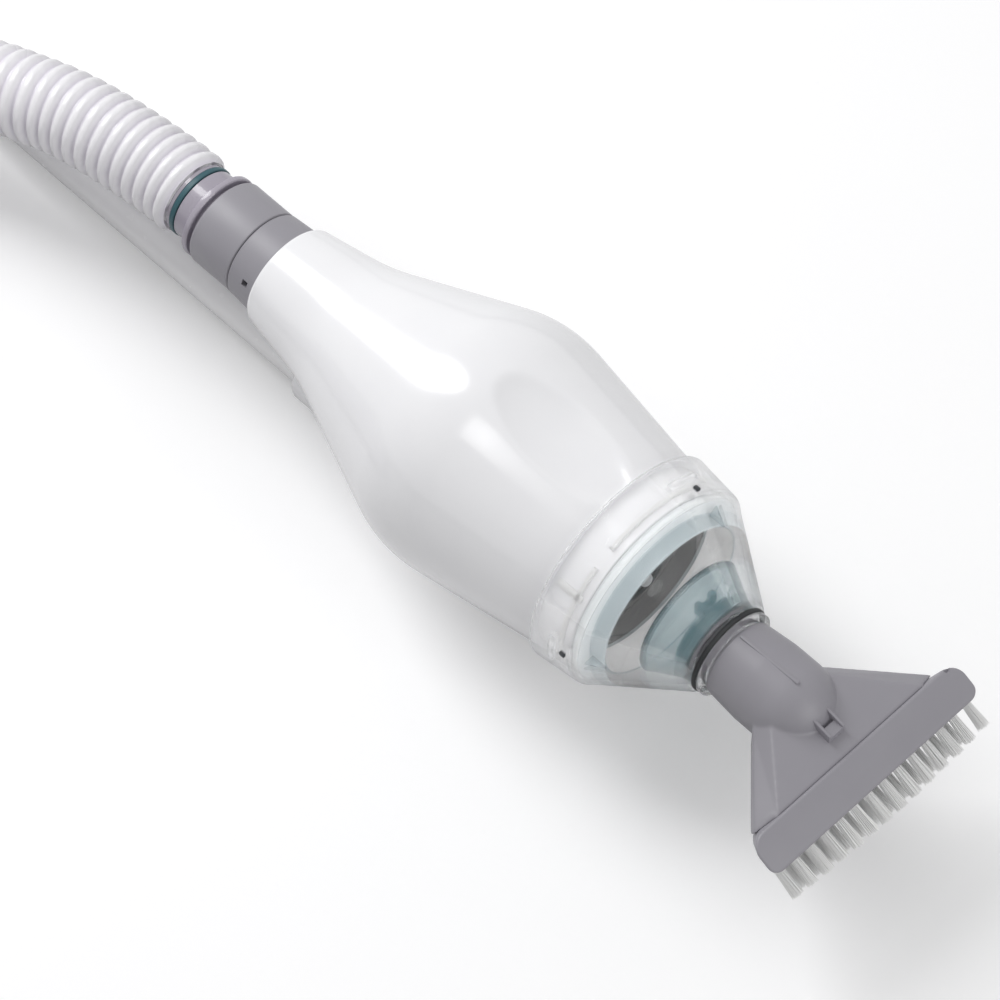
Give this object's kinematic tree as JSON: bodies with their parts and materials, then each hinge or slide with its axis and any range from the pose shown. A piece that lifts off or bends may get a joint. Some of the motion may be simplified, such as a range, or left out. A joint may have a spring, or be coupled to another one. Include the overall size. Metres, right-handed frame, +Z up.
{
  "type": "pool cleaner",
  "caption": "Suction pool cleaner: bottle body with a filter bag, clear front housing, wide brush nozzle, swivel corrugated hose and telescopic pole.",
  "frame": {"origin": "on the floor, under the middle of everything but the hose", "axes": "+X along the cleaner towards its brush, +Z up, +Y to the cleaner's left"},
  "size_m": [1.1278, 0.6948, 0.1528],
  "materials": {
    "white_shell": "glossy white moulded shell",
    "grey_plastic": "satin grey",
    "clear_plastic": "clear with a faint teal tint",
    "pale_plastic": "pale, satin",
    "teal_plastic": "tinted, half clear",
    "filter_mesh": "fine grey-teal mesh",
    "black_rubber": "black",
    "bristle": "white filament",
    "hose_plastic": "milky, half clear",
    "pole_paint": "white painted tube",
    "grip_rubber": "dark grey",
    "steel": "plain"
  },
  "bodies": {
    "cleaner": {"body_shell": "white_shell", "outlet_collar": "grey_plastic", "swivel_seal": "black_rubber", "pole_socket": "white_shell", "socket_screw_rear": "steel", "socket_screw_front": "steel", "pole_inner": "pole_paint", "lock_cam": "grey_plastic", "button_spring": "steel", "hose_tube": "hose_plastic", "hose_coil": "hose_plastic", "hose_end_cuff": "grey_plastic", "hose_tie": "grip_rubber"},
    "filter": {"filter_frame": "pale_plastic", "filter_gasket": "pale_plastic", "filter_bag": "filter_mesh", "filter_cage": "pale_plastic", "filter_stem": "pale_plastic"},
    "housing": {"front_housing": "clear_plastic", "housing_seal": "black_rubber", "inlet_cup": "teal_plastic", "flap_pin": "steel"},
    "flap": {"inlet_flap": "teal_plastic"},
    "suction_nozzle": {"nozzle": "grey_plastic", "nozzle_seal": "black_rubber"},
    "brush": {"brush_frame": "grey_plastic", "brush_strip_upper": "bristle", "brush_strip_lower": "bristle"},
    "swivel": {"swivel_collar": "grey_plastic", "hose_cuff": "hose_plastic", "cuff_seal": "black_rubber"},
    "button": {"snap_button": "steel"},
    "outer_pole": {"pole_outer": "pole_paint", "pole_grip": "grip_rubber", "pole_end_cap": "grey_plastic"},
    "lock": {"pole_lock_collar": "grey_plastic"},
    "loop": {"hang_loop": "grey_plastic"}
  },
  "joints": [
    {"name": "front_pull", "type": "slide", "parent": "cleaner", "child": "filter", "axis": [1, 0, 0], "range_m": [0, 0.2]},
    {"name": "housing_twist", "type": "hinge", "parent": "filter", "child": "housing", "pos_m": [0.39023, 0, 0.082], "axis": [1, 0, 0], "range_deg": [0, 25]},
    {"name": "flap_swing", "type": "hinge", "parent": "housing", "child": "flap", "pos_m": [0.43343, 0, 0.1037], "axis": [0, 1, 0], "range_deg": [0, 50]},
    {"name": "nozzle_pull", "type": "slide", "parent": "housing", "child": "suction_nozzle", "axis": [1, 0, 0], "range_m": [0, 0.03]},
    {"name": "brush_pull", "type": "slide", "parent": "suction_nozzle", "child": "brush", "axis": [0.8829, 0, -0.4695], "range_m": [0, 0.025]},
    {"name": "swivel_spin", "type": "hinge", "parent": "cleaner", "child": "swivel", "pos_m": [0.11023, 0, 0.082], "axis": [1, 0, 0], "continuous": true},
    {"name": "button_press", "type": "slide", "parent": "cleaner", "child": "button", "axis": [0, -1, 0], "range_m": [0, 0.0045], "stiffness_N_per_m": 800, "springref_m": -0.002},
    {"name": "pole_extend", "type": "slide", "parent": "cleaner", "child": "outer_pole", "axis": [-1, 0, 0], "range_m": [0, 0.26]},
    {"name": "lock_twist", "type": "hinge", "parent": "outer_pole", "child": "lock", "pos_m": [-0.16977, 0, 0.019], "axis": [1, 0, 0], "range_deg": [0, 90]},
    {"name": "loop_swing", "type": "hinge", "parent": "outer_pole", "child": "loop", "pos_m": [-0.52637, 0, 0.019], "axis": [0, 1, 0], "range_deg": [0, 110]}
  ]
}
